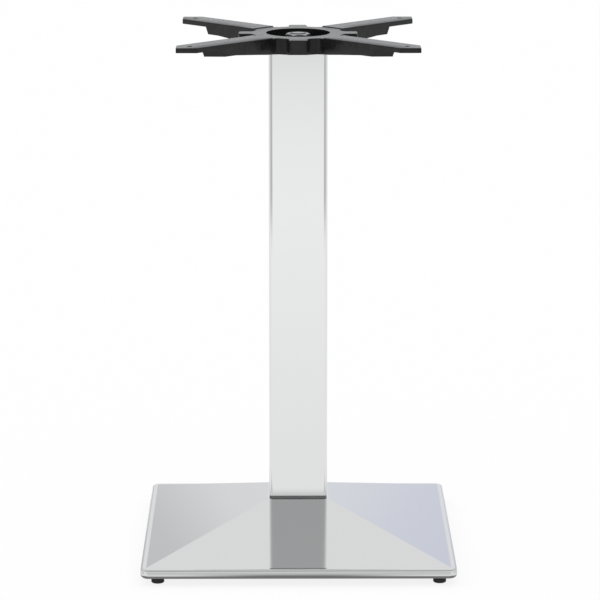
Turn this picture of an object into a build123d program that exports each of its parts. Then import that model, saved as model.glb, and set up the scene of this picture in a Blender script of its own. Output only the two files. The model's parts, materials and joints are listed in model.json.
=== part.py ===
from build123d import *
import os
from math import atan, cos, radians, sin, sqrt, tan

# Square pedestal table base: a pressed pyramid cover over a cast ballast, a square
# column and a four-armed cast spider, all clamped by one full-length tie rod, on four
# screw-in levelling feet. Millimetres, +Z up, origin on the floor under the column's axis.

# ---- driving dimensions -------------------------------------------------------------
# base cover (pressed polished sheet)
BASE_SIDE = 425.0          # outside of the rim
BASE_CORNER_R = 11.0       # plan radius of the rim's corners
SHEET_T = 1.5
RIM_BOTTOM_Z = 10.0
RIM_TOP_Z = 24.0
RIM_TOP_R = 3.5            # bend between the rim and the flat border
RIM_HEM_R = 5.0            # bend under the rim
BORDER_W = 7.0             # from the rim's outside to the foot of the facets
APEX_Z = 73.5              # land that carries the column
APEX_HALF = 42.0
COVER_OPENING_HALF = 38.0  # square opening in the land
COVER_OPENING_R = 3.5
HEM_OPENING_HALF = 206.5   # underside opening inside the turned-in hem
RIDGE_R = 2.5
FOOT_OF_FACET_R = 6.0

# column
COLUMN_SIDE = 80.0
COLUMN_WALL = 2.0
COLUMN_CORNER_R = 5.0
GASKET_T = 3.8
GASKET_SIDE = 77.6
COLUMN_TOP_Z = 697.2

# spider
TOP_Z = 720.0              # plane that the table top rests on
SPIDER_HALF = 161.0        # half the square that the four tips reach
ARM_W = 39.0
TAB_T = 6.5                # thin tabs at the tips, and the top plate of the arms
TAB_START_HALF = 127.7     # the deep ribs end at this half square, under the top plate
RIB_END_RAKE = 3.3         # their ends lean inwards by this, from the plate to their lower edge
HUB_BOTTOM_Z = COLUMN_TOP_Z
# underside of the casting: (radius from the axis, height)
UNDERSIDE = ((66.0, HUB_BOTTOM_Z), (81.0, 698.2), (99.0, 700.0), (137.0, 703.4), (190.0, 703.8))
RIB_WALL = 6.5
HUB_R = 63.0
HUB_DROP = 1.0             # the hub's top face lies this much below the arms
HUB_STEP_R = 67.0
LUG_W = 25.0
LUG_R = 81.0
LUG_BOTTOM_Z = 699.9
RECESS_R = 43.5
RECESS_FLOOR_Z = 705.0
SPIGOT_HALF = 37.5
SPIGOT_CORNER_R = 3.0
SPIGOT_WALL = 7.0
SPIGOT_DEPTH = 12.0
SCREW_POS = 143.0          # table-top screw holes, at plus and minus this in X and Y
SCREW_HOLE_R = 3.5

# tie rod and its fasteners (20 mm thread)
ROD_R = 9.9
ROD_BOTTOM_Z = 35.0
ROD_TOP_Z = 719.0
ROD_HOLE_R = 10.75
NUT_BORE_R = 9.95
NUT_AF = 30.0
TOP_NUT_H = 10.0
BOTTOM_NUT_H = 16.0
WASHER_R = 18.5
WASHER_T = 3.0
WASHER_HOLE_R = 10.5

# ballast casting
BALLAST_HALF = 204.0
BALLAST_CORNER_R = 8.0
BALLAST_BOTTOM_Z = 12.0
BALLAST_PLATE_T = 8.0
TOWER_HALF = 40.0
TOWER_WALL = 8.0
WEB_BOTTOM_Z = 58.0
BALLAST_SPIGOT_TOP_Z = 90.0

# levelling feet
FOOT_POS = 190.0
FOOT_PAD_R = 8.75
FOOT_PAD_H = 10.0
FOOT_STUD_R = 4.0
FOOT_STUD_TOP_Z = 24.5
FOOT_HOLE_R = 4.05
FOOT_BOSS_R = 9.0
FOOT_BOSS_TOP_Z = 23.5
FOOT_BOSS_BOTTOM_Z = 10.2

os.makedirs("parts", exist_ok=True)

# ---- helpers ------------------------------------------------------------------------


def rounded_block(half, corner_r, z0, z1):
    """Rounded square prism between two heights."""
    sk = RectangleRounded(2 * half, 2 * half, corner_r)
    return extrude(Pos(0, 0, z0) * sk, amount=z1 - z0)


def square_block(half, z0, z1):
    return Pos(0, 0, (z0 + z1) / 2) * Box(2 * half, 2 * half, z1 - z0)


def cyl(r, z0, z1, x=0.0, y=0.0):
    return Pos(x, y, (z0 + z1) / 2) * Cylinder(r, z1 - z0)


def frustum(half0, z0, half1, z1):
    """Square pyramid frustum between two heights."""
    lower = Pos(0, 0, z0) * Rectangle(2 * half0, 2 * half0)
    upper = Pos(0, 0, z1) * Rectangle(2 * half1, 2 * half1)
    return loft([lower, upper])


def only_solid(shape):
    solids = shape.solids()
    assert len(solids) == 1, "expected one solid, got %d" % len(solids)
    return solids[0]


def save(shape, name):
    shape.label = name
    export_step(shape, "parts/%s.step" % name)


# ---- base cover ---------------------------------------------------------------------
HALF = BASE_SIDE / 2
FACET_HALF = HALF - BORDER_W
SLOPE = (APEX_Z - RIM_TOP_Z) / (FACET_HALF - APEX_HALF)
BETA = atan(SLOPE)
SHEET_DZ = SHEET_T / cos(BETA)   # vertical thickness of a sloping facet


def facet_z(x):
    """Outer height of the facets where the larger of |X| and |Y| is x."""
    return RIM_TOP_Z + (FACET_HALF - x) * SLOPE


def cover_body(inset):
    """The cover's outside (inset 0) or its inside (inset = sheet thickness)."""
    h = HALF - inset
    z0, z1 = RIM_BOTTOM_Z + inset, RIM_TOP_Z - inset
    rim = rounded_block(h, BASE_CORNER_R - inset, z0, z1)
    rim = fillet(rim.edges().group_by(Axis.Z)[-1], RIM_TOP_R - inset)
    rim = fillet(rim.edges().group_by(Axis.Z)[0], RIM_HEM_R - inset)
    dz = inset / cos(BETA)
    top = APEX_Z - inset
    # the facets' foot and head on this offset surface
    foot = FACET_HALF - (z1 - RIM_TOP_Z + dz) / SLOPE
    head = FACET_HALF - (top - RIM_TOP_Z + dz) / SLOPE
    below = z1 - 3.0
    pyr = frustum(foot + 3.0 / SLOPE, below, head, top) & square_block(foot, z1 - 2.0, top)
    body = rim + pyr
    # soften the four ridges, then the bend at the foot of the facets
    ridges = [e for e in body.edges()
              if abs(abs(e.center().X) - abs(e.center().Y)) < 0.5
              and z1 + 5 < e.center().Z < top - 5]
    body = fillet(ridges, RIDGE_R - inset)
    return body


def soften_foot(body, inset):
    z1 = RIM_TOP_Z - inset
    edges = [e for e in body.edges()
             if abs(e.center().Z - z1) < 0.01 and e.length > 300
             and max(abs(e.center().X), abs(e.center().Y)) < FACET_HALF + 0.4]
    return fillet(edges, FOOT_OF_FACET_R + inset)


outer = cover_body(0.0)
inner = cover_body(SHEET_T)
try:
    outer_s = soften_foot(outer, 0.0)
    inner_s = soften_foot(inner, SHEET_T)
    outer, inner = outer_s, inner_s
    print("facet feet rounded")
except Exception as err:
    print("facet feet left as folds:", type(err).__name__)
cover = outer - inner
cover -= rounded_block(COVER_OPENING_HALF, COVER_OPENING_R, APEX_Z - 10, APEX_Z + 5)
cover -= rounded_block(HEM_OPENING_HALF, 5.0, RIM_BOTTOM_Z - 5, RIM_BOTTOM_Z + SHEET_T + 0.5)
cover = only_solid(cover)
save(cover, "base_cover")

# ---- ballast casting ----------------------------------------------------------------
B0 = BALLAST_BOTTOM_Z
B1 = B0 + BALLAST_PLATE_T
LAND_UNDER_Z = APEX_Z - SHEET_T
ballast = rounded_block(BALLAST_HALF, BALLAST_CORNER_R, B0, B1)
ballast = chamfer(ballast.edges().group_by(Axis.Z)[-1], 1.0)
ballast += square_block(TOWER_HALF, B0, LAND_UNDER_Z)
ballast += rounded_block(SPIGOT_HALF, SPIGOT_CORNER_R, LAND_UNDER_Z - 1, BALLAST_SPIGOT_TOP_Z)
# hollow of the tower, open below
ballast -= rounded_block(TOWER_HALF - TOWER_WALL, 5.0, B0 - 1, WEB_BOTTOM_Z)
# hollow of the spigot, open above
ballast -= rounded_block(SPIGOT_HALF - SPIGOT_WALL, 5.0, LAND_UNDER_Z, BALLAST_SPIGOT_TOP_Z + 1)
for sx in (-1, 1):
    for sy in (-1, 1):
        ballast += cyl(FOOT_BOSS_R, FOOT_BOSS_BOTTOM_Z, FOOT_BOSS_TOP_Z, sx * FOOT_POS, sy * FOOT_POS)
        ballast -= cyl(FOOT_HOLE_R, FOOT_BOSS_BOTTOM_Z - 1, FOOT_BOSS_TOP_Z + 1, sx * FOOT_POS, sy * FOOT_POS)
ballast -= cyl(ROD_HOLE_R, B0 - 1, BALLAST_SPIGOT_TOP_Z + 1)
ballast = only_solid(ballast)
save(ballast, "base_ballast")

# ---- column and gasket --------------------------------------------------------------
COLUMN_BOTTOM_Z = APEX_Z + GASKET_T
gasket = rounded_block(GASKET_SIDE / 2, 4.0, APEX_Z, COLUMN_BOTTOM_Z)
gasket -= rounded_block(COVER_OPENING_HALF, COVER_OPENING_R, APEX_Z - 1, COLUMN_BOTTOM_Z + 1)
gasket = only_solid(gasket)
save(gasket, "column_gasket")

column = rounded_block(COLUMN_SIDE / 2, COLUMN_CORNER_R, COLUMN_BOTTOM_Z, COLUMN_TOP_Z)
column -= rounded_block(COLUMN_SIDE / 2 - COLUMN_WALL, COLUMN_CORNER_R - COLUMN_WALL,
                        COLUMN_BOTTOM_Z - 1, COLUMN_TOP_Z + 1)
column = only_solid(column)
save(column, "column_tube")

# ---- spider -------------------------------------------------------------------------


def arms_2d(half, width, trim=0.0):
    """Two crossed diagonal bars cut to a square of the given half side."""
    bar = Rectangle(2 * half * 1.6, width - 2 * trim)
    cross = Rot(0, 0, 45) * bar + Rot(0, 0, -45) * bar
    return cross & Rectangle(2 * (half - trim), 2 * (half - trim))


def lugs_2d(trim=0.0):
    w = LUG_W - 2 * trim
    r = LUG_R - trim
    return Rectangle(2 * r, w) + Rectangle(w, 2 * r)


def cast_outline(half, trim=0.0, corner=2.0, notch=7.0):
    """Plan of the casting: arms, hub and the four short lugs, with cast radii."""
    sk = arms_2d(half, ARM_W, trim) + Circle(HUB_R - trim) + lugs_2d(trim)
    face = sk.faces()[0] if len(sk.faces()) == 1 else sk
    vs = face.vertices()
    hub_vs = [v for v in vs if 45 < sqrt(v.X ** 2 + v.Y ** 2) < 72]
    lug_vs = [v for v in vs if 72 <= sqrt(v.X ** 2 + v.Y ** 2) < 90]
    tip_vs = [v for v in vs if sqrt(v.X ** 2 + v.Y ** 2) > 120]
    face = fillet(hub_vs, notch)
    face = fillet([v for v in face.vertices() if any((v.center() - w.center()).length < 0.2 for w in lug_vs)], 4.0)
    face = fillet([v for v in face.vertices() if any((v.center() - w.center()).length < 0.2 for w in tip_vs)], corner)
    return face


# top plates: the hub and its lugs lie a little lower than the arms and tabs
CAST_EDGE_R = 1.3
hub_top = TOP_Z - HUB_DROP
plate = extrude(Pos(0, 0, TOP_Z - TAB_T) * cast_outline(SPIDER_HALF, 0.0, 3.0), amount=TAB_T - HUB_DROP)
plate = fillet(plate.edges().group_by(Axis.Z)[-1], CAST_EDGE_R)
reach = SPIDER_HALF * 1.6
arm = Pos((HUB_STEP_R + reach) / 2, 0) * Rectangle(reach - HUB_STEP_R, ARM_W)
for k in range(4):
    high = (Rot(0, 0, 45 + 90 * k) * arm) & Rectangle(2 * SPIDER_HALF, 2 * SPIDER_HALF)
    high = high.faces()[0]
    high = fillet([v for v in high.vertices() if sqrt(v.X ** 2 + v.Y ** 2) > 120], 3.0)
    high = extrude(Pos(0, 0, TOP_Z - TAB_T) * high, amount=TAB_T)
    plate += fillet(high.edges().group_by(Axis.Z)[-1], CAST_EDGE_R)
# deep part, its underside rising from the hub to the rib ends
deep = extrude(Pos(0, 0, HUB_BOTTOM_Z) * cast_outline(TAB_START_HALF, 0.0, 3.0),
               amount=TOP_Z - HUB_BOTTOM_Z - TAB_T + 1.0)
under = make_face(Polyline((0, HUB_BOTTOM_Z), *UNDERSIDE, (UNDERSIDE[-1][0], TOP_Z), (0, TOP_Z), close=True))
under = revolve(Plane.XZ * under, Axis.Z)
deep = deep & under
rake = RIB_END_RAKE / 10.0
deep = deep & frustum(TAB_START_HALF - rake * (TOP_Z - TAB_T - HUB_BOTTOM_Z + 1.0), HUB_BOTTOM_Z - 1.0,
                      TAB_START_HALF + rake * 2.0, TOP_Z - TAB_T + 2.0)
# the lugs are a little shallower than the hub
for k in range(4):
    under_lug = Pos((HUB_R + 1.0 + 95.0) / 2, 0, LUG_BOTTOM_Z - 5.0) * Box(94.0 - HUB_R, LUG_W + 16.0, 10.0)
    deep -= Rot(0, 0, 90 * k) * under_lug
# channels under the arms, between the side ribs
hollow = extrude(Pos(0, 0, HUB_BOTTOM_Z - 1) *
                 (arms_2d(TAB_START_HALF, ARM_W, RIB_WALL) - Circle(HUB_R - 4.0)),
                 amount=TOP_Z - HUB_BOTTOM_Z + 1 - TAB_T)
hollow = fillet([e for e in hollow.edges().filter_by(Axis.Z)], 3.0)
deep -= hollow
spider = plate + deep
# cross webs that tie each pair of side ribs at mid arm
for k in range(4):
    web = Pos(118.0, 0, TOP_Z - 9.0) * Box(5.0, ARM_W - 2 * RIB_WALL + 2.0, 10.0)
    spider += Rot(0, 0, 45 + 90 * k) * web
# hub: round recess, solid floor, spigot that centres the column
spider -= cyl(RECESS_R, RECESS_FLOOR_Z, TOP_Z + 5)
spider += rounded_block(SPIGOT_HALF, SPIGOT_CORNER_R, COLUMN_TOP_Z - SPIGOT_DEPTH, COLUMN_TOP_Z + 1)
spider -= rounded_block(SPIGOT_HALF - SPIGOT_WALL, 4.0, COLUMN_TOP_Z - SPIGOT_DEPTH - 1, COLUMN_TOP_Z)
spider -= cyl(ROD_HOLE_R, COLUMN_TOP_Z - 20, TOP_Z + 5)
for sx in (-1, 1):
    for sy in (-1, 1):
        spider -= cyl(SCREW_HOLE_R, TOP_Z - 30, TOP_Z + 5, sx * SCREW_POS, sy * SCREW_POS)
spider = only_solid(spider)


def try_fillet(shape, edges, radius, what):
    try:
        out = fillet(edges, radius)
        ok = out.is_valid if not callable(out.is_valid) else out.is_valid()
        if ok and len(out.solids()) == 1:
            print("rounded", what, radius)
            return out.solids()[0]
    except Exception as err:
        print("not rounded", what, type(err).__name__)
    return shape


rim_edges = [e for e in spider.edges()
             if abs(e.center().Z - (TOP_Z - HUB_DROP)) < 0.01 and e.geom_type == GeomType.CIRCLE
             and abs(e.radius - RECESS_R) < 0.01]
spider = try_fillet(spider, rim_edges, 1.5, "recess rim")
save(spider, "top_spider")

# ---- tie rod, nuts and washers ------------------------------------------------------


def hex_nut(z0, h, turn=0.0):
    nut = extrude(Pos(0, 0, z0) * (Rot(0, 0, turn) * RegularPolygon(NUT_AF / 2, 6, major_radius=False)), amount=h)
    r_c = NUT_AF / 2 / cos(radians(30))
    # the usual 30 degree turned corners on both faces
    drop = (r_c - NUT_AF / 2 * 0.97) * tan(radians(30))
    prof = make_face(Polyline((0, z0), (NUT_AF / 2 * 0.97, z0), (r_c + 0.01, z0 + drop),
                              (r_c + 0.01, z0 + h - drop), (NUT_AF / 2 * 0.97, z0 + h), (0, z0 + h), close=True))
    nut = nut & revolve(Plane.XZ * prof, Axis.Z)
    nut -= cyl(NUT_BORE_R, z0 - 1, z0 + h + 1)
    # countersunk mouths of the thread
    nut = only_solid(nut)
    mouths = [e for e in nut.edges() if e.geom_type == GeomType.CIRCLE and abs(e.radius - NUT_BORE_R) < 0.01]
    return only_solid(chamfer(mouths, 0.9))


def washer(z0):
    w = cyl(WASHER_R, z0, z0 + WASHER_T) - cyl(WASHER_HOLE_R, z0 - 1, z0 + WASHER_T + 1)
    w = only_solid(w)
    rims = [e for e in w.edges() if e.geom_type == GeomType.CIRCLE and abs(e.radius - WASHER_R) < 0.01]
    return only_solid(chamfer(rims, 0.4))


rod = cyl(ROD_R, ROD_BOTTOM_Z, ROD_TOP_Z)
rod = only_solid(chamfer(rod.edges().filter_by(GeomType.CIRCLE), 1.5))
save(rod, "tie_rod")
save(washer(RECESS_FLOOR_Z), "top_washer")
save(hex_nut(RECESS_FLOOR_Z + WASHER_T, TOP_NUT_H, 8.0), "top_nut")
save(washer(WEB_BOTTOM_Z - WASHER_T), "bottom_washer")
save(hex_nut(WEB_BOTTOM_Z - WASHER_T - BOTTOM_NUT_H, BOTTOM_NUT_H), "bottom_nut")

# ---- levelling feet -----------------------------------------------------------------
for name, sx, sy in (("front_left", -1, -1), ("front_right", 1, -1), ("back_left", -1, 1), ("back_right", 1, 1)):
    x, y = sx * FOOT_POS, sy * FOOT_POS
    # moulded pad: slightly coned, rounded bottom edge, blind socket for the stud
    prof = make_face(Polyline((0, 0), (FOOT_PAD_R - 0.9, 0), (FOOT_PAD_R, 0.9), (FOOT_PAD_R, 6.8),
                              (FOOT_PAD_R - 0.5, 7.4), (FOOT_PAD_R - 0.5, FOOT_PAD_H), (0, FOOT_PAD_H), close=True))
    pad = revolve(Plane.XZ * prof, Axis.Z)
    pad -= cyl(FOOT_STUD_R, 3.0, FOOT_PAD_H + 1)
    save(Pos(x, y, 0) * only_solid(pad), "foot_pad_" + name)
    # threaded stud, its foot moulded into the pad
    stud = cyl(FOOT_STUD_R, 3.0, FOOT_STUD_TOP_Z)
    stud = only_solid(chamfer(stud.edges().group_by(Axis.Z)[-1], 0.8))
    save(Pos(x, y, 0) * stud, "foot_stud_" + name)

print("slope degrees", BETA * 57.29578, "facet foot", FACET_HALF)
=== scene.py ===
import json
import math

import bmesh
import bpy
import numpy as np
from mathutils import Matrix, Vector


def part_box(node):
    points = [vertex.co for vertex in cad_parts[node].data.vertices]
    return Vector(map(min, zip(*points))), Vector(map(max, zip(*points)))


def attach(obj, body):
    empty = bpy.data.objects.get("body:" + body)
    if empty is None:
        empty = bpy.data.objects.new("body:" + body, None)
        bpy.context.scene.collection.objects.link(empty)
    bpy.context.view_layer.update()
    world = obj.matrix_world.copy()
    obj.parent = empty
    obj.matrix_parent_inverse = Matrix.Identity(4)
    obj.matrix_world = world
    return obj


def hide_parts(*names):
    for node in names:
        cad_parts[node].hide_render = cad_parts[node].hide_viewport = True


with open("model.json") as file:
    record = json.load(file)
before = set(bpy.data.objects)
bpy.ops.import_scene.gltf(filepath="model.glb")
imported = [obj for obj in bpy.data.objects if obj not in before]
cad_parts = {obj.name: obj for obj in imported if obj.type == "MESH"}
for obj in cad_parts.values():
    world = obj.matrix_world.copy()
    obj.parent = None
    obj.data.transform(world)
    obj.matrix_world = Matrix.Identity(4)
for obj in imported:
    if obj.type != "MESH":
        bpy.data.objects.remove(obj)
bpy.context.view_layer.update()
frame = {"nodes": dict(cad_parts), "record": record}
scene = bpy.context.scene
nodes = frame["nodes"]

FEET = ("front_left", "front_right", "back_left", "back_right")
FOOT_POS = 0.190


# ---- small node helpers -----------------------------------------------------------------


class Build:
    """Adds nodes to one material's or world's tree."""

    def __init__(self, tree):
        self.tree = tree
        tree.nodes.clear()

    def node(self, kind, **settings):
        n = self.tree.nodes.new(kind)
        for key, value in settings.items():
            setattr(n, key, value)
        return n

    def link(self, a, b):
        self.tree.links.new(a, b)

    def put(self, value, socket):
        """A number, a colour or another node's output goes into a socket."""
        if isinstance(value, bpy.types.NodeSocket):
            self.link(value, socket)
        elif hasattr(value, "__len__") and len(value) == 3 and len(socket.default_value) == 4:
            socket.default_value = (*value, 1.0)
        else:
            socket.default_value = value

    def math(self, op, a, b=0.0, clamp=False):
        n = self.node("ShaderNodeMath", operation=op, use_clamp=clamp)
        self.put(a, n.inputs[0])
        self.put(b, n.inputs[1])
        return n.outputs[0]

    def remap(self, value, lo, hi, to_lo, to_hi, smooth=False):
        n = self.node("ShaderNodeMapRange", clamp=True)
        if smooth:
            n.interpolation_type = "SMOOTHSTEP"
        self.put(value, n.inputs["Value"])
        n.inputs["From Min"].default_value = lo
        n.inputs["From Max"].default_value = hi
        n.inputs["To Min"].default_value = to_lo
        n.inputs["To Max"].default_value = to_hi
        return n.outputs["Result"]

    def mix(self, factor, a, b):
        n = self.node("ShaderNodeMix", data_type="RGBA")
        self.put(factor, n.inputs[0])
        self.put(a, n.inputs[6])
        self.put(b, n.inputs[7])
        return n.outputs[2]

    def noise(self, vector, scale, detail=2.0, roughness=0.5, distortion=0.0):
        n = self.node("ShaderNodeTexNoise")
        self.link(vector, n.inputs["Vector"])
        n.inputs["Scale"].default_value = scale
        n.inputs["Detail"].default_value = detail
        n.inputs["Roughness"].default_value = roughness
        n.inputs["Distortion"].default_value = distortion
        return n.outputs["Fac"]

    def stretched(self, vector, sx, sy, sz, rot=(0, 0, 0)):
        n = self.node("ShaderNodeMapping")
        self.link(vector, n.inputs["Vector"])
        n.inputs["Scale"].default_value = (sx, sy, sz)
        n.inputs["Rotation"].default_value = rot
        return n.outputs["Vector"]

    def bump(self, height, distance, strength=1.0, normal=None):
        n = self.node("ShaderNodeBump")
        self.link(height, n.inputs["Height"])
        n.inputs["Distance"].default_value = distance
        n.inputs["Strength"].default_value = strength
        if normal is not None:
            self.link(normal, n.inputs["Normal"])
        return n.outputs["Normal"]


def material(name):
    m = bpy.data.materials.new(name)
    m.use_nodes = True
    b = Build(m.node_tree)
    out = b.node("ShaderNodeOutputMaterial")
    bsdf = b.node("ShaderNodeBsdfPrincipled")
    b.link(bsdf.outputs[0], out.inputs["Surface"])
    place = b.node("ShaderNodeTexCoord").outputs["Object"]
    return m, b, bsdf, place


# ---- finishes ---------------------------------------------------------------------------


def polished_metal(name, color, rough, lines):
    """Mirror polish: faint roller waves, fine polishing lines and a little handling haze."""
    m, b, bsdf, p = material(name)
    b.put(color, bsdf.inputs["Base Color"])
    bsdf.inputs["Metallic"].default_value = 1.0
    haze = b.noise(p, 9.0, 3.0, 0.55)
    streak = b.noise(b.stretched(p, *lines), 1.0, 2.0, 0.6)
    r = b.math("ADD", b.remap(haze, 0.35, 0.75, rough, rough + 0.035),
               b.remap(streak, 0.35, 0.75, 0.0, 0.02))
    b.link(r, bsdf.inputs["Roughness"])
    wave = b.bump(b.noise(p, 7.0, 1.0, 0.4), 0.00025, 0.35)
    fine = b.bump(streak, 0.0000035, 0.35, wave)
    b.link(fine, bsdf.inputs["Normal"])
    return m


def painted_casting(name):
    """Black semi-gloss paint that has softened a sand-cast skin, thin on the edges."""
    m, b, bsdf, p = material(name)
    grain = b.noise(p, 620.0, 5.0, 0.62)
    lumps = b.noise(p, 85.0, 3.0, 0.5)
    tone = b.mix(b.remap(lumps, 0.3, 0.75, 0.0, 1.0), (0.0075, 0.0075, 0.0075), (0.0150, 0.0146, 0.0142))
    edge = b.node("ShaderNodeBevel", samples=6)
    edge.inputs["Radius"].default_value = 0.0011
    geo = b.node("ShaderNodeNewGeometry")
    dot = b.node("ShaderNodeVectorMath", operation="DOT_PRODUCT")
    b.link(edge.outputs[0], dot.inputs[0])
    b.link(geo.outputs["Normal"], dot.inputs[1])
    turned = b.remap(dot.outputs["Value"], 0.90, 0.985, 1.0, 0.0)
    worn = b.math("MULTIPLY", turned, b.remap(b.noise(p, 140.0, 4.0, 0.7), 0.56, 0.70, 0.0, 0.55))
    b.link(b.mix(worn, tone, (0.075, 0.072, 0.070)), bsdf.inputs["Base Color"])
    b.link(b.remap(grain, 0.3, 0.7, 0.15, 0.27), bsdf.inputs["Roughness"])
    bsdf.inputs["Specular IOR Level"].default_value = 0.30
    # the paint lies a little thicker along the middle of each arm
    part = b.node("ShaderNodeSeparateXYZ")
    b.link(p, part.inputs[0])
    u = b.math("ABSOLUTE", b.math("SUBTRACT", part.outputs["X"], part.outputs["Y"]))
    v = b.math("ABSOLUTE", b.math("ADD", part.outputs["X"], part.outputs["Y"]))
    across = b.math("MINIMUM", b.math("MULTIPLY", b.math("MINIMUM", u, v), 0.7071), 0.0195)
    crown = b.math("MULTIPLY", b.math("MULTIPLY", across, across), -5.0)
    # only on the arms' upper faces: none on the hub, in its recess or on upright faces
    out = b.math("SQRT", b.math("ADD", b.math("MULTIPLY", part.outputs["X"], part.outputs["X"]),
                                b.math("MULTIPLY", part.outputs["Y"], part.outputs["Y"])))
    crown = b.math("MULTIPLY", crown, b.remap(out, 0.062, 0.100, 0.0, 1.0, True))
    face = b.node("ShaderNodeSeparateXYZ")
    b.link(geo.outputs["True Normal"], face.inputs[0])
    crown = b.math("MULTIPLY", crown, b.math("GREATER_THAN", face.outputs["Z"], 0.9))
    n = b.bump(lumps, 0.0009, 0.45, b.bump(crown, 1.0))
    b.link(b.bump(grain, 0.00022, 0.5, n), bsdf.inputs["Normal"])
    return m


def rough_casting(name):
    """Bare sand casting under a thin dark primer, with dry rust in the low spots."""
    m, b, bsdf, p = material(name)
    grain = b.noise(p, 420.0, 6.0, 0.68)
    lumps = b.noise(p, 38.0, 4.0, 0.55)
    tone = b.mix(b.remap(lumps, 0.3, 0.7, 0.0, 1.0), (0.055, 0.053, 0.051), (0.105, 0.102, 0.098))
    rust = b.math("MULTIPLY", b.remap(b.noise(p, 17.0, 5.0, 0.65), 0.56, 0.74, 0.0, 0.8),
                  b.remap(grain, 0.42, 0.62, 0.0, 1.0))
    b.link(b.mix(rust, tone, (0.125, 0.058, 0.030)), bsdf.inputs["Base Color"])
    b.link(b.remap(grain, 0.3, 0.7, 0.62, 0.86), bsdf.inputs["Roughness"])
    bsdf.inputs["Metallic"].default_value = 0.0
    n = b.bump(lumps, 0.0016, 0.5)
    b.link(b.bump(grain, 0.0004, 0.6, n), bsdf.inputs["Normal"])
    return m


def zinc_plate(name):
    """Bright zinc plating with a faint warm and cool passivation cast."""
    m, b, bsdf, p = material(name)
    cast = b.noise(p, 75.0, 2.0, 0.5)
    clean = b.mix(b.remap(cast, 0.35, 0.65, 0.0, 1.0), (0.47, 0.47, 0.44), (0.41, 0.43, 0.46))
    # a darker grey ring round the top end of the tie rod, at the thread's mouth
    part = b.node("ShaderNodeSeparateXYZ")
    b.link(p, part.inputs[0])
    far = b.math("SQRT", b.math("ADD", b.math("MULTIPLY", part.outputs["X"], part.outputs["X"]),
                                b.math("MULTIPLY", part.outputs["Y"], part.outputs["Y"])))
    near_top = b.remap(part.outputs["Z"], 0.698, 0.704, 0.0, 1.0)
    ring_in = b.remap(far, 0.0080, 0.0088, 0.0, 1.0, True)
    ring_out = b.remap(far, 0.0112, 0.0122, 1.0, 0.0, True)
    dark_ring = b.math("MULTIPLY", b.math("MULTIPLY", ring_in, ring_out), near_top)
    dark_ring = b.math("MULTIPLY", dark_ring, b.remap(cast, 0.2, 0.6, 0.75, 1.0))
    b.link(b.mix(dark_ring, clean, (0.06, 0.058, 0.055)), bsdf.inputs["Base Color"])
    bsdf.inputs["Metallic"].default_value = 1.0
    rub = b.noise(p, 900.0, 3.0, 0.6)
    b.link(b.remap(rub, 0.3, 0.7, 0.34, 0.48), bsdf.inputs["Roughness"])
    b.link(b.bump(rub, 0.00004, 0.4), bsdf.inputs["Normal"])
    return m


def black_rubber(name):
    m, b, bsdf, p = material(name)
    grain = b.noise(p, 1400.0, 4.0, 0.6)
    b.link(b.mix(b.remap(grain, 0.3, 0.7, 0.0, 1.0), (0.150, 0.150, 0.153), (0.205, 0.205, 0.208)),
           bsdf.inputs["Base Color"])
    b.link(b.remap(grain, 0.3, 0.7, 0.62, 0.8), bsdf.inputs["Roughness"])
    b.link(b.bump(grain, 0.00005, 0.4), bsdf.inputs["Normal"])
    return m


def moulded_plastic(name):
    """Black moulded plastic, fine spark texture, scuffed grey where it stands."""
    m, b, bsdf, p = material(name)
    spark = b.noise(p, 1900.0, 3.0, 0.6)
    z = b.node("ShaderNodeSeparateXYZ")
    b.link(p, z.inputs[0])
    low = b.math("MULTIPLY", b.remap(z.outputs["Z"], 0.0004, 0.0022, 1.0, 0.0),
                 b.remap(b.noise(p, 600.0, 4.0, 0.7), 0.42, 0.66, 0.0, 0.7))
    b.link(b.mix(low, (0.018, 0.018, 0.019), (0.085, 0.083, 0.080)), bsdf.inputs["Base Color"])
    b.link(b.remap(spark, 0.3, 0.7, 0.40, 0.56), bsdf.inputs["Roughness"])
    b.link(b.bump(spark, 0.00004, 0.5), bsdf.inputs["Normal"])
    return m


finish = {
    "polished_cover": polished_metal("polished_cover", (0.800, 0.804, 0.808), 0.035, (420.0, 16.0, 60.0)),
    "polished_column": polished_metal("polished_column", (0.800, 0.803, 0.807), 0.030, (240.0, 240.0, 9.0)),
    "painted_iron": painted_casting("painted_iron"),
    "ballast_iron": rough_casting("ballast_iron"),
    "zinc_steel": zinc_plate("zinc_steel"),
    "gasket_rubber": black_rubber("gasket_rubber"),
    "foot_plastic": moulded_plastic("foot_plastic"),
}

slot_of = {s["node"]: s["material_slot"] for s in frame["record"]["subparts"]}
for name, obj in nodes.items():
    obj.data.materials.clear()
    obj.data.materials.append(finish[slot_of[name]])


# ---- screw threads ----------------------------------------------------------------------


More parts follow.
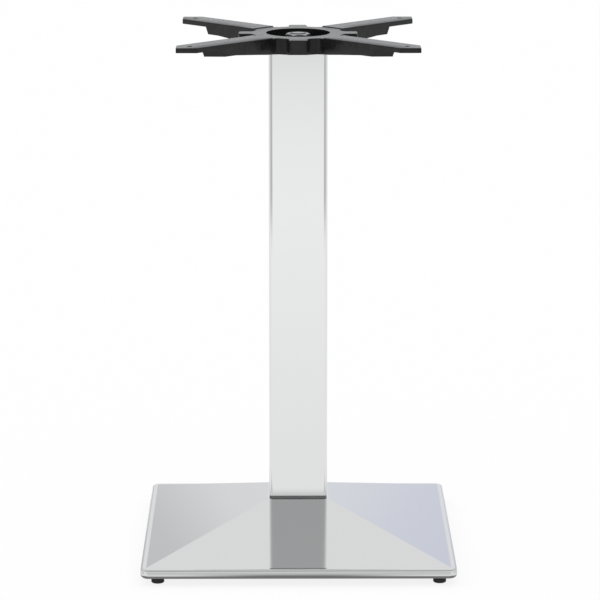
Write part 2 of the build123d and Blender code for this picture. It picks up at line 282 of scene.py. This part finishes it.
def threaded_bar(name, major_r, pitch, depth, z0, z1, runs, body, slot, x=0.0, y=0.0, per_turn=56):
    """A closed bar from z0 to z1 with a 60 degree thread over each run (from, to, end chamfers low and high).

    The rows of vertices follow the helix, so crests and roots stay crisp."""
    # one pitch of the profile: root, flank, crest, flank
    shape = [(0.0, depth), (0.09, depth), (0.29, depth * 0.5), (0.49, 0.0), (0.62, 0.0), (0.82, depth * 0.5)]
    lo, hi = z0 - pitch, z1 + pitch
    turns = int(math.ceil((hi - lo) / pitch))
    steps = turns * per_turn
    cham = 1.15 * depth

    def radius(z, cut):
        inside = 0.0
        for a, b in runs:
            # the thread starts and ends with a short run-out, except at the bar's own ends
            w = 1.0
            if a > z0 + 1e-6:
                w = min(w, max(0.0, (z - a) / pitch))
            if b < z1 - 1e-6:
                w = min(w, max(0.0, (b - z) / pitch))
            if a - 1e-9 <= z <= b + 1e-9:
                inside = max(inside, w)
        r = major_r - cut * inside
        return min(r, major_r - cham + max(0.0, z - z0), major_r - cham + max(0.0, z1 - z))

    verts, index = [], {}
    for t in range(steps + 1):
        turn = 2 * math.pi * (t % per_turn) / per_turn
        c, s = math.cos(turn), math.sin(turn)
        for k, (share, cut) in enumerate(shape):
            z = lo + pitch * (t / per_turn + share)
            zc = min(max(z, z0), z1)
            r = radius(zc, cut)
            index[(t, k)] = len(verts)
            verts.append((x + r * c, y + r * s, zc))
    faces = []
    n = len(shape)
    for t in range(steps):
        for k in range(n):
            if k + 1 < n:
                a, b = index[(t, k + 1)], index[(t + 1, k + 1)]
            elif (t + 1 + per_turn, 0) in index:
                a, b = index[(t + per_turn, 0)], index[(t + 1 + per_turn, 0)]
            else:
                continue
            faces.append((index[(t, k)], index[(t + 1, k)], b, a))
    mesh = bpy.data.meshes.new(name)
    mesh.from_pydata(verts, [], faces)
    bm = bmesh.new()
    bm.from_mesh(mesh)
    bmesh.ops.remove_doubles(bm, verts=bm.verts, dist=2e-6)
    bmesh.ops.dissolve_degenerate(bm, edges=bm.edges, dist=1e-7)
    loops = [e for e in bm.edges if e.is_boundary]
    bmesh.ops.holes_fill(bm, edges=loops, sides=0)
    bmesh.ops.recalc_face_normals(bm, faces=bm.faces)
    bm.to_mesh(mesh)
    bm.free()
    for poly in mesh.polygons:
        poly.use_smooth = True
    obj = bpy.data.objects.new(name, mesh)
    scene.collection.objects.link(obj)
    mesh.materials.append(finish[slot])
    mesh.set_sharp_from_angle(angle=math.radians(38))
    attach(obj, body)
    return obj


rod_lo, rod_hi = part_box("tie_rod")
rod = threaded_bar("tie_rod_threaded", 0.0099, 0.0025, 0.00150, rod_lo.z, rod_hi.z,
                   [(rod_lo.z, rod_lo.z + 0.030), (rod_hi.z - 0.030, rod_hi.z)], "base", "zinc_steel")
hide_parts("tie_rod")
for f in FEET:
    lo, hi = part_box("foot_stud_" + f)
    cx, cy = (lo.x + hi.x) / 2, (lo.y + hi.y) / 2
    stud = threaded_bar("foot_stud_threaded_" + f, 0.0040, 0.00125, 0.00072, lo.z, hi.z,
                        [(0.0085, hi.z)], "foot_" + f, "zinc_steel", cx, cy, 40)
    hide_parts("foot_stud_" + f)


# ---- floor, flags and light -------------------------------------------------------------


def plane(name, corners, mat):
    mesh = bpy.data.meshes.new(name)
    mesh.from_pydata(corners, [], [tuple(range(len(corners)))])
    obj = bpy.data.objects.new(name, mesh)
    scene.collection.objects.link(obj)
    mesh.materials.append(mat)
    return obj


floor_mat = bpy.data.materials.new("studio_floor")
floor_mat.use_nodes = True
fb = floor_mat.node_tree.nodes["Principled BSDF"]
fb.inputs["Base Color"].default_value = (0.13, 0.13, 0.13, 1.0)
fb.inputs["Roughness"].default_value = 1.0
fb.inputs["Specular IOR Level"].default_value = 0.0
fb.inputs["Emission Color"].default_value = (1.0, 1.0, 1.0, 1.0)
fb.inputs["Emission Strength"].default_value = 0.855
ring = [(30 * math.cos(2 * math.pi * k / 96), 30 * math.sin(2 * math.pi * k / 96), -0.0001) for k in range(96)]
floor = plane("studio_floor", ring, floor_mat)



def glossy_only(obj):
    obj.visible_camera = False
    obj.visible_diffuse = False
    obj.visible_shadow = False
    obj.visible_transmission = False


# painted reflection of the floor, seen only in the polished metal: a glowing card with a painted dim strip of
# shadow beside the foot and softer painted light far in front
painted_reflection_mat = bpy.data.materials.new("painted_floor_reflection")
painted_reflection_mat.use_nodes = True
sb = Build(painted_reflection_mat.node_tree)
painted_reflection_out = sb.node("ShaderNodeOutputMaterial")
painted_reflection_glow = sb.node("ShaderNodeEmission")
sb.link(painted_reflection_glow.outputs[0], painted_reflection_out.inputs["Surface"])
at = sb.node("ShaderNodeSeparateXYZ")
sb.link(sb.node("ShaderNodeTexCoord").outputs["Object"], at.inputs[0])
side_x, side_y = sb.math("ABSOLUTE", at.outputs["X"]), sb.math("ABSOLUTE", at.outputs["Y"])
off = sb.math("SUBTRACT", sb.math("MAXIMUM", side_x, side_y), 0.2125)
along = sb.math("MINIMUM", side_x, side_y)
# painted shadow in the reflection: darkest close to the rim and facing the middle of each side, rising to the
# open-floor level further out
middle = sb.remap(along, 0.03, 0.19, 0.16, 0.92, True)
close = sb.math("ADD", 0.22, sb.math("MULTIPLY", sb.remap(off, 0.020, 0.032, 0.0, 1.0, True),
                                     sb.math("SUBTRACT", middle, 0.22)))
open_floor = sb.remap(off, 0.085, 0.140, 0.68, 1.0, True)
dim = sb.math("ADD", close, sb.math("MULTIPLY", sb.remap(off, 0.044, 0.060, 0.0, 1.0, True),
                                    sb.math("SUBTRACT", open_floor, close)))
# painted light in the reflection: the reflected floor's tone rises and falls with distance in front
falloff = sb.node("ShaderNodeFloatCurve")
sb.put(sb.remap(at.outputs["Y"], -6.0, 0.0, 0.0, 1.0), falloff.inputs["Value"])
curve = falloff.mapping.curves[0]
stops = [(-6.0, 0.82), (-4.94, 0.885), (-4.47, 0.932), (-3.77, 0.979), (-2.64, 1.018), (-1.61, 0.989),
         (-0.86, 0.950), (-0.40, 0.925), (0.0, 0.95)]
curve.points[0].location = (0.0, stops[0][1] / 1.2)
curve.points[1].location = (1.0, stops[-1][1] / 1.2)
for where, value in stops[1:-1]:
    curve.points.new((where + 6.0) / 6.0, value / 1.2)
falloff.mapping.update()
sb.link(sb.math("MULTIPLY", sb.math("MULTIPLY", falloff.outputs[0], 1.2), dim), painted_reflection_glow.inputs["Strength"])
painted_reflection_card = plane("painted_floor_reflection", [(x, y, 0.0) for x, y, z in ring], painted_reflection_mat)
glossy_only(painted_reflection_card)

# painted reflection: dim curved glowing flags at both sides, seen only in the polished metal, draw the thin
# dark lines along its edges
painted_reflection_flag_mat = bpy.data.materials.new("painted_reflection_flag")
painted_reflection_flag_mat.use_nodes = True
gb = Build(painted_reflection_flag_mat.node_tree)
flag_out = gb.node("ShaderNodeOutputMaterial")
painted_reflection_flag_glow = gb.node("ShaderNodeEmission")
gb.link(painted_reflection_flag_glow.outputs[0], flag_out.inputs["Surface"])
fat = gb.node("ShaderNodeSeparateXYZ")
gb.link(gb.node("ShaderNodeTexCoord").outputs["Object"], fat.inputs[0])
# painted reflection tone: dimmer towards the front, brighter near the floor
level_ = gb.remap(fat.outputs["Y"], -1.6, -1.0, 0.56, 0.70, True)
foot_ = gb.remap(fat.outputs["Z"], 0.0, 0.13, 1.0, 0.0, True)
gb.link(gb.math("ADD", level_, gb.math("MULTIPLY", foot_, gb.math("SUBTRACT", 0.97, level_))), painted_reflection_flag_glow.inputs["Strength"])
for side, tag in ((-1, "left"), (1, "right")):
    turn = [math.radians(8 + 75 * k / 24) for k in range(25)]
    arc = [(2.1 * side * math.sin(t), -2.1 * math.cos(t)) for t in turn]
    mesh = bpy.data.meshes.new("painted_reflection_flag_" + tag)
    mesh.from_pydata([(x, y, h) for x, y in arc for h in (0.0, 0.8)], [],
                     [(2 * k, 2 * k + 2, 2 * k + 3, 2 * k + 1) for k in range(24)])
    card = bpy.data.objects.new("painted_reflection_flag_" + tag, mesh)
    scene.collection.objects.link(card)
    mesh.materials.append(painted_reflection_flag_mat)
    glossy_only(card)

sun = bpy.data.lights.new("studio_soft_light", "SUN")
sun.energy = 1.50
sun.angle = math.radians(110)
sun_obj = bpy.data.objects.new("studio_soft_light", sun)
scene.collection.objects.link(sun_obj)
sun_obj.rotation_euler = (math.radians(18), math.radians(-8), 0)
sun_obj.visible_glossy = False

# smooth studio surround, by direction only
world = bpy.data.worlds.new("studio")
scene.world = world
world.use_nodes = True
w = Build(world.node_tree)
w_out = w.node("ShaderNodeOutputWorld")
w_bg = w.node("ShaderNodeBackground")
w.link(w_bg.outputs[0], w_out.inputs["Surface"])
direction = w.node("ShaderNodeTexCoord").outputs["Generated"]
unit = w.node("ShaderNodeVectorMath", operation="NORMALIZE")
w.link(direction, unit.inputs[0])
xyz = w.node("ShaderNodeSeparateXYZ")
w.link(unit.outputs[0], xyz.inputs[0])
X, Y, Z = xyz.outputs["X"], xyz.outputs["Y"], xyz.outputs["Z"]
# brighter behind and above, darker in front, a cool side at the right
level = w.math("ADD", w.math("MULTIPLY", Y, 0.25), w.math("MULTIPLY", Z, 0.423))
level = w.math("ADD", level, 0.359)
level = w.math("MAXIMUM", level, 0.16)
level = w.math("ADD", level, w.math("MULTIPLY", w.math("MINIMUM", Y, 0.0), 0.05))
# an even tone low in front, so the bend at the facets' foot shows no dark line under the column
front_low = w.math("MULTIPLY", w.remap(Z, 0.42, 0.66, 1.0, 0.0, True), w.remap(Y, -0.90, -0.60, 1.0, 0.0, True))
level = w.math("ADD", level, w.math("MULTIPLY", front_low, w.math("SUBTRACT", 0.46, level)))
grey = w.node("ShaderNodeCombineColor")
for k in range(3):
    w.link(level, grey.inputs[k])
# the low part behind the object: pale wall, fading to the left, fading and cooler to the right
wall = w.node("ShaderNodeValToRGB")
w.put(w.remap(X, -0.30, 0.30, 0.0, 1.0), wall.inputs[0])
wall_stops = [(-0.30, (0.55, 0.55, 0.55)), (-0.192, (0.615, 0.618, 0.625)), (-0.169, (0.77, 0.775, 0.785)),
              (-0.10, (0.83, 0.84, 0.85)), (0.10, (0.83, 0.84, 0.86)), (0.170, (0.755, 0.775, 0.820)),
              (0.192, (0.690, 0.715, 0.805)), (0.30, (0.58, 0.61, 0.72))]
stops_ = wall.color_ramp.elements
stops_[0].position, stops_[0].color = 0.0, (*wall_stops[0][1], 1.0)
stops_[1].position, stops_[1].color = 1.0, (*wall_stops[-1][1], 1.0)
for where, tone in wall_stops[1:-1]:
    stop = stops_.new((where + 0.30) / 0.60)
    stop.color = (*tone, 1.0)
low = w.remap(Z, 0.30, 0.55, 1.0, 0.0, True)
back = w.remap(Y, 0.55, 0.85, 0.0, 1.0, True)
product_out = w.mix(w.math("MULTIPLY", low, back), grey.outputs[0], wall.outputs["Color"])
w.link(product_out, w_bg.inputs["Color"])
w_bg.inputs["Strength"].default_value = 1.0

scene.view_settings.view_transform = "Standard"
scene.view_settings.look = "None"
scene.view_settings.exposure = 0.0
scene.view_settings.gamma = 1.0


# ---- camera -----------------------------------------------------------------------------

cam_data = bpy.data.cameras.new("photo_camera")
cam = bpy.data.objects.new("photo_camera", cam_data)
scene.collection.objects.link(cam)
cam_data.sensor_width = 36.0
cam_data.lens = 188.8
cam_data.clip_start, cam_data.clip_end = 0.1, 100.0
cam_data.dof.use_dof = False
cam.location = (-0.01935, -4.2494, 1.2924)
pitch = math.radians(12.544)
yaw = math.radians(0.261 + 0.03624)
aim = Vector((math.sin(yaw) * math.cos(pitch), math.cos(yaw) * math.cos(pitch), -math.sin(pitch)))
cam.rotation_mode = "QUATERNION"
cam.rotation_quaternion = aim.to_track_quat("-Z", "Y")
scene.camera = cam
